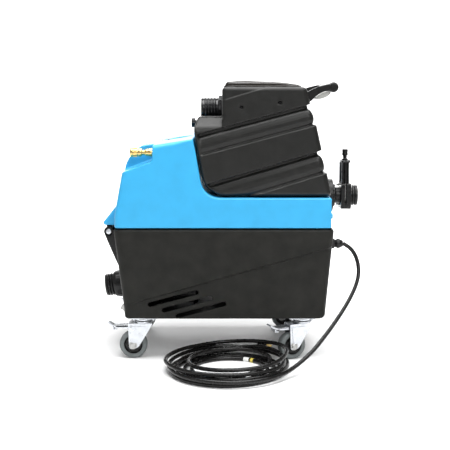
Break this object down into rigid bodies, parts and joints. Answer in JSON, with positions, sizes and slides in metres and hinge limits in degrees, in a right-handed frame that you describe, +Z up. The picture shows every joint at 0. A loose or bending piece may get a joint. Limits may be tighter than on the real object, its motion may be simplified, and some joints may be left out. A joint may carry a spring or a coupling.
{
  "type": "spot extractor",
  "caption": "Compact wheeled carpet spot extractor: hollow tub, tilting solution tank, lift-off ribbed recovery tank with gate valve, swivel casters and coiled cord.",
  "frame": {"origin": "on the floor below the middle of the machine, measured without its cord", "axes": "+X towards the dump valve at the rear, +Y to the machine's side away from the brass coupler, +Z up"},
  "size_m": [0.6016, 0.5433, 0.6285],
  "materials": {
    "blue_moulding": "satin rotomoulded",
    "tub_moulding": "fine moulded texture",
    "tank_moulding": "satin moulded",
    "black_plastic": "semi-gloss",
    "rocker_plastic": "gloss",
    "smoked_lid": "gloss, smoked",
    "handle_black": "satin",
    "grip_grey": "soft",
    "float_white": "smooth",
    "bright_zinc": "bright zinc plate",
    "brass": "turned",
    "cord_rubber": "satin",
    "plug_rubber": "matte",
    "cast_aluminium": "cast",
    "motor_paint": "satin",
    "copper_winding": "wound",
    "hub_plastic": "moulded",
    "tyre_grey": "matte"
  },
  "bodies": {
    "base": {"base_tub": "tub_moulding", "hinge_lower_leaf": "black_plastic", "hinge_pin": "bright_zinc", "exhaust_port": "black_plastic", "cord_gland": "black_plastic", "power_cord_lead": "cord_rubber", "power_cord_coil": "cord_rubber", "power_plug": "plug_rubber", "vacuum_fan_case": "cast_aluminium", "vacuum_motor_frame": "cast_aluminium", "pump_motor": "motor_paint", "pump_head": "black_plastic", "inline_heater": "cast_aluminium", "caster_front_left_plate": "bright_zinc", "caster_front_right_plate": "bright_zinc", "caster_rear_left_plate": "bright_zinc", "caster_rear_right_plate": "bright_zinc"},
    "hood": {"solution_tank": "blue_moulding", "hinge_upper_leaf": "black_plastic", "control_panel": "black_plastic", "coupler_body": "brass"},
    "fill_cap": {"fill_cap": "black_plastic"},
    "rocker_vacuum": {"rocker_vacuum": "rocker_plastic"},
    "rocker_pump": {"rocker_pump": "rocker_plastic"},
    "rocker_heater": {"rocker_heater": "rocker_plastic"},
    "coupler_sleeve": {"coupler_sleeve": "brass"},
    "recovery": {"recovery_tank": "tank_moulding", "vacuum_inlet_port": "black_plastic", "standpipe": "black_plastic", "carry_handle": "handle_black", "handle_grip_pad": "grip_grey", "dump_valve_pipe": "black_plastic", "dump_valve_body": "black_plastic", "dump_valve_outlet": "black_plastic"},
    "tank_lid": {"tank_lid": "smoked_lid"},
    "float_ball": {"float_ball": "float_white"},
    "dump_gate": {"dump_valve_blade": "bright_zinc", "dump_valve_knob": "black_plastic"},
    "latch_knob": {"tank_latch_knob": "black_plastic"},
    "armature": {"vacuum_armature": "copper_winding"},
    "caster_front_left_swivel": {"caster_front_left_fork": "bright_zinc", "caster_front_left_axle": "bright_zinc"},
    "caster_front_left_wheel": {"caster_front_left_hub": "hub_plastic", "caster_front_left_tyre": "tyre_grey"},
    "caster_front_left_brake": {"caster_front_left_pedal": "bright_zinc"},
    "caster_front_right_swivel": {"caster_front_right_fork": "bright_zinc", "caster_front_right_axle": "bright_zinc"},
    "caster_front_right_wheel": {"caster_front_right_hub": "hub_plastic", "caster_front_right_tyre": "tyre_grey"},
    "caster_front_right_brake": {"caster_front_right_pedal": "bright_zinc"},
    "caster_rear_left_swivel": {"caster_rear_left_fork": "bright_zinc", "caster_rear_left_axle": "bright_zinc"},
    "caster_rear_left_wheel": {"caster_rear_left_hub": "hub_plastic", "caster_rear_left_tyre": "tyre_grey"},
    "caster_rear_left_brake": {"caster_rear_left_pedal": "bright_zinc"},
    "caster_rear_right_swivel": {"caster_rear_right_fork": "bright_zinc", "caster_rear_right_axle": "bright_zinc"},
    "caster_rear_right_wheel": {"caster_rear_right_hub": "hub_plastic", "caster_rear_right_tyre": "tyre_grey"},
    "caster_rear_right_brake": {"caster_rear_right_pedal": "bright_zinc"}
  },
  "joints": [
    {"name": "hood_tilt", "type": "hinge", "parent": "base", "child": "hood", "pos_m": [-0.275, 0, 0.289], "axis": [0, -1, 0], "range_deg": [0, 65]},
    {"name": "recovery_tank_lift", "type": "slide", "parent": "hood", "child": "recovery", "axis": [0, 0, 1], "range_m": [0, 0.14]},
    {"name": "fill_cap_lift", "type": "slide", "parent": "hood", "child": "fill_cap", "axis": [0, 0, 1], "range_m": [0, 0.05]},
    {"name": "coupler_sleeve_slide", "type": "slide", "parent": "hood", "child": "coupler_sleeve", "axis": [1, 0, 0], "range_m": [0, 0.005], "stiffness_N_per_m": 300, "springref_m": -0.004},
    {"name": "tank_lid_lift", "type": "slide", "parent": "recovery", "child": "tank_lid", "axis": [0, 0, 1], "range_m": [0, 0.06]},
    {"name": "float_rise", "type": "slide", "parent": "recovery", "child": "float_ball", "axis": [0, 0, 1], "range_m": [0, 0.03]},
    {"name": "dump_gate_pull", "type": "slide", "parent": "recovery", "child": "dump_gate", "axis": [0, 0, 1], "range_m": [0, 0.042]},
    {"name": "latch_knob_turn", "type": "hinge", "parent": "recovery", "child": "latch_knob", "pos_m": [-0.086, 0, 0.53], "axis": [-1, 0, 0], "range_deg": [0, 90]},
    {"name": "armature_spin", "type": "hinge", "parent": "base", "child": "armature", "pos_m": [0.07, 0.035, 0.18], "axis": [0, 0, 1], "continuous": true},
    {"name": "rocker_vacuum_press", "type": "hinge", "parent": "hood", "child": "rocker_vacuum", "pos_m": [-0.246, -0.034, 0.38], "axis": [0, -1, 0], "range_deg": [0, 14]},
    {"name": "rocker_pump_press", "type": "hinge", "parent": "hood", "child": "rocker_pump", "pos_m": [-0.246, 0, 0.38], "axis": [0, -1, 0], "range_deg": [0, 14]},
    {"name": "rocker_heater_press", "type": "hinge", "parent": "hood", "child": "rocker_heater", "pos_m": [-0.246, 0.034, 0.38], "axis": [0, -1, 0], "range_deg": [0, 14]},
    {"name": "caster_front_left_swivel", "type": "hinge", "parent": "base", "child": "caster_front_left_swivel", "pos_m": [-0.196, -0.13, 0.09], "axis": [0, 0, 1], "continuous": true},
    {"name": "caster_front_left_roll", "type": "hinge", "parent": "caster_front_left_swivel", "child": "caster_front_left_wheel", "pos_m": [-0.221, -0.13, 0.0317], "axis": [0, 1, 0], "continuous": true},
    {"name": "caster_front_left_brake", "type": "hinge", "parent": "caster_front_left_swivel", "child": "caster_front_left_brake", "pos_m": [-0.226, -0.13, 0.075], "axis": [0, -1, 0], "range_deg": [0, 8]},
    {"name": "caster_front_right_swivel", "type": "hinge", "parent": "base", "child": "caster_front_right_swivel", "pos_m": [-0.196, 0.13, 0.09], "axis": [0, 0, 1], "continuous": true},
    {"name": "caster_front_right_roll", "type": "hinge", "parent": "caster_front_right_swivel", "child": "caster_front_right_wheel", "pos_m": [-0.221, 0.13, 0.0317], "axis": [0, 1, 0], "continuous": true},
    {"name": "caster_front_right_brake", "type": "hinge", "parent": "caster_front_right_swivel", "child": "caster_front_right_brake", "pos_m": [-0.226, 0.13, 0.075], "axis": [0, -1, 0], "range_deg": [0, 8]},
    {"name": "caster_rear_left_swivel", "type": "hinge", "parent": "base", "child": "caster_rear_left_swivel", "pos_m": [0.162, -0.13, 0.09], "axis": [0, 0, 1], "continuous": true},
    {"name": "caster_rear_left_roll", "type": "hinge", "parent": "caster_rear_left_swivel", "child": "caster_rear_left_wheel", "pos_m": [0.13882, -0.13936, 0.0317], "axis": [-0.3746, 0.9272, 0], "continuous": true},
    {"name": "caster_rear_left_brake", "type": "hinge", "parent": "caster_rear_left_swivel", "child": "caster_rear_left_brake", "pos_m": [0.13418, -0.14124, 0.075], "axis": [0.3746, -0.9272, 0], "range_deg": [0, 8]},
    {"name": "caster_rear_right_swivel", "type": "hinge", "parent": "base", "child": "caster_rear_right_swivel", "pos_m": [0.162, 0.13, 0.09], "axis": [0, 0, 1], "continuous": true},
    {"name": "caster_rear_right_roll", "type": "hinge", "parent": "caster_rear_right_swivel", "child": "caster_rear_right_wheel", "pos_m": [0.13882, 0.13936, 0.0317], "axis": [0.3746, 0.9272, 0], "continuous": true},
    {"name": "caster_rear_right_brake", "type": "hinge", "parent": "caster_rear_right_swivel", "child": "caster_rear_right_brake", "pos_m": [0.13418, 0.14124, 0.075], "axis": [-0.3746, -0.9272, 0], "range_deg": [0, 8]}
  ]
}
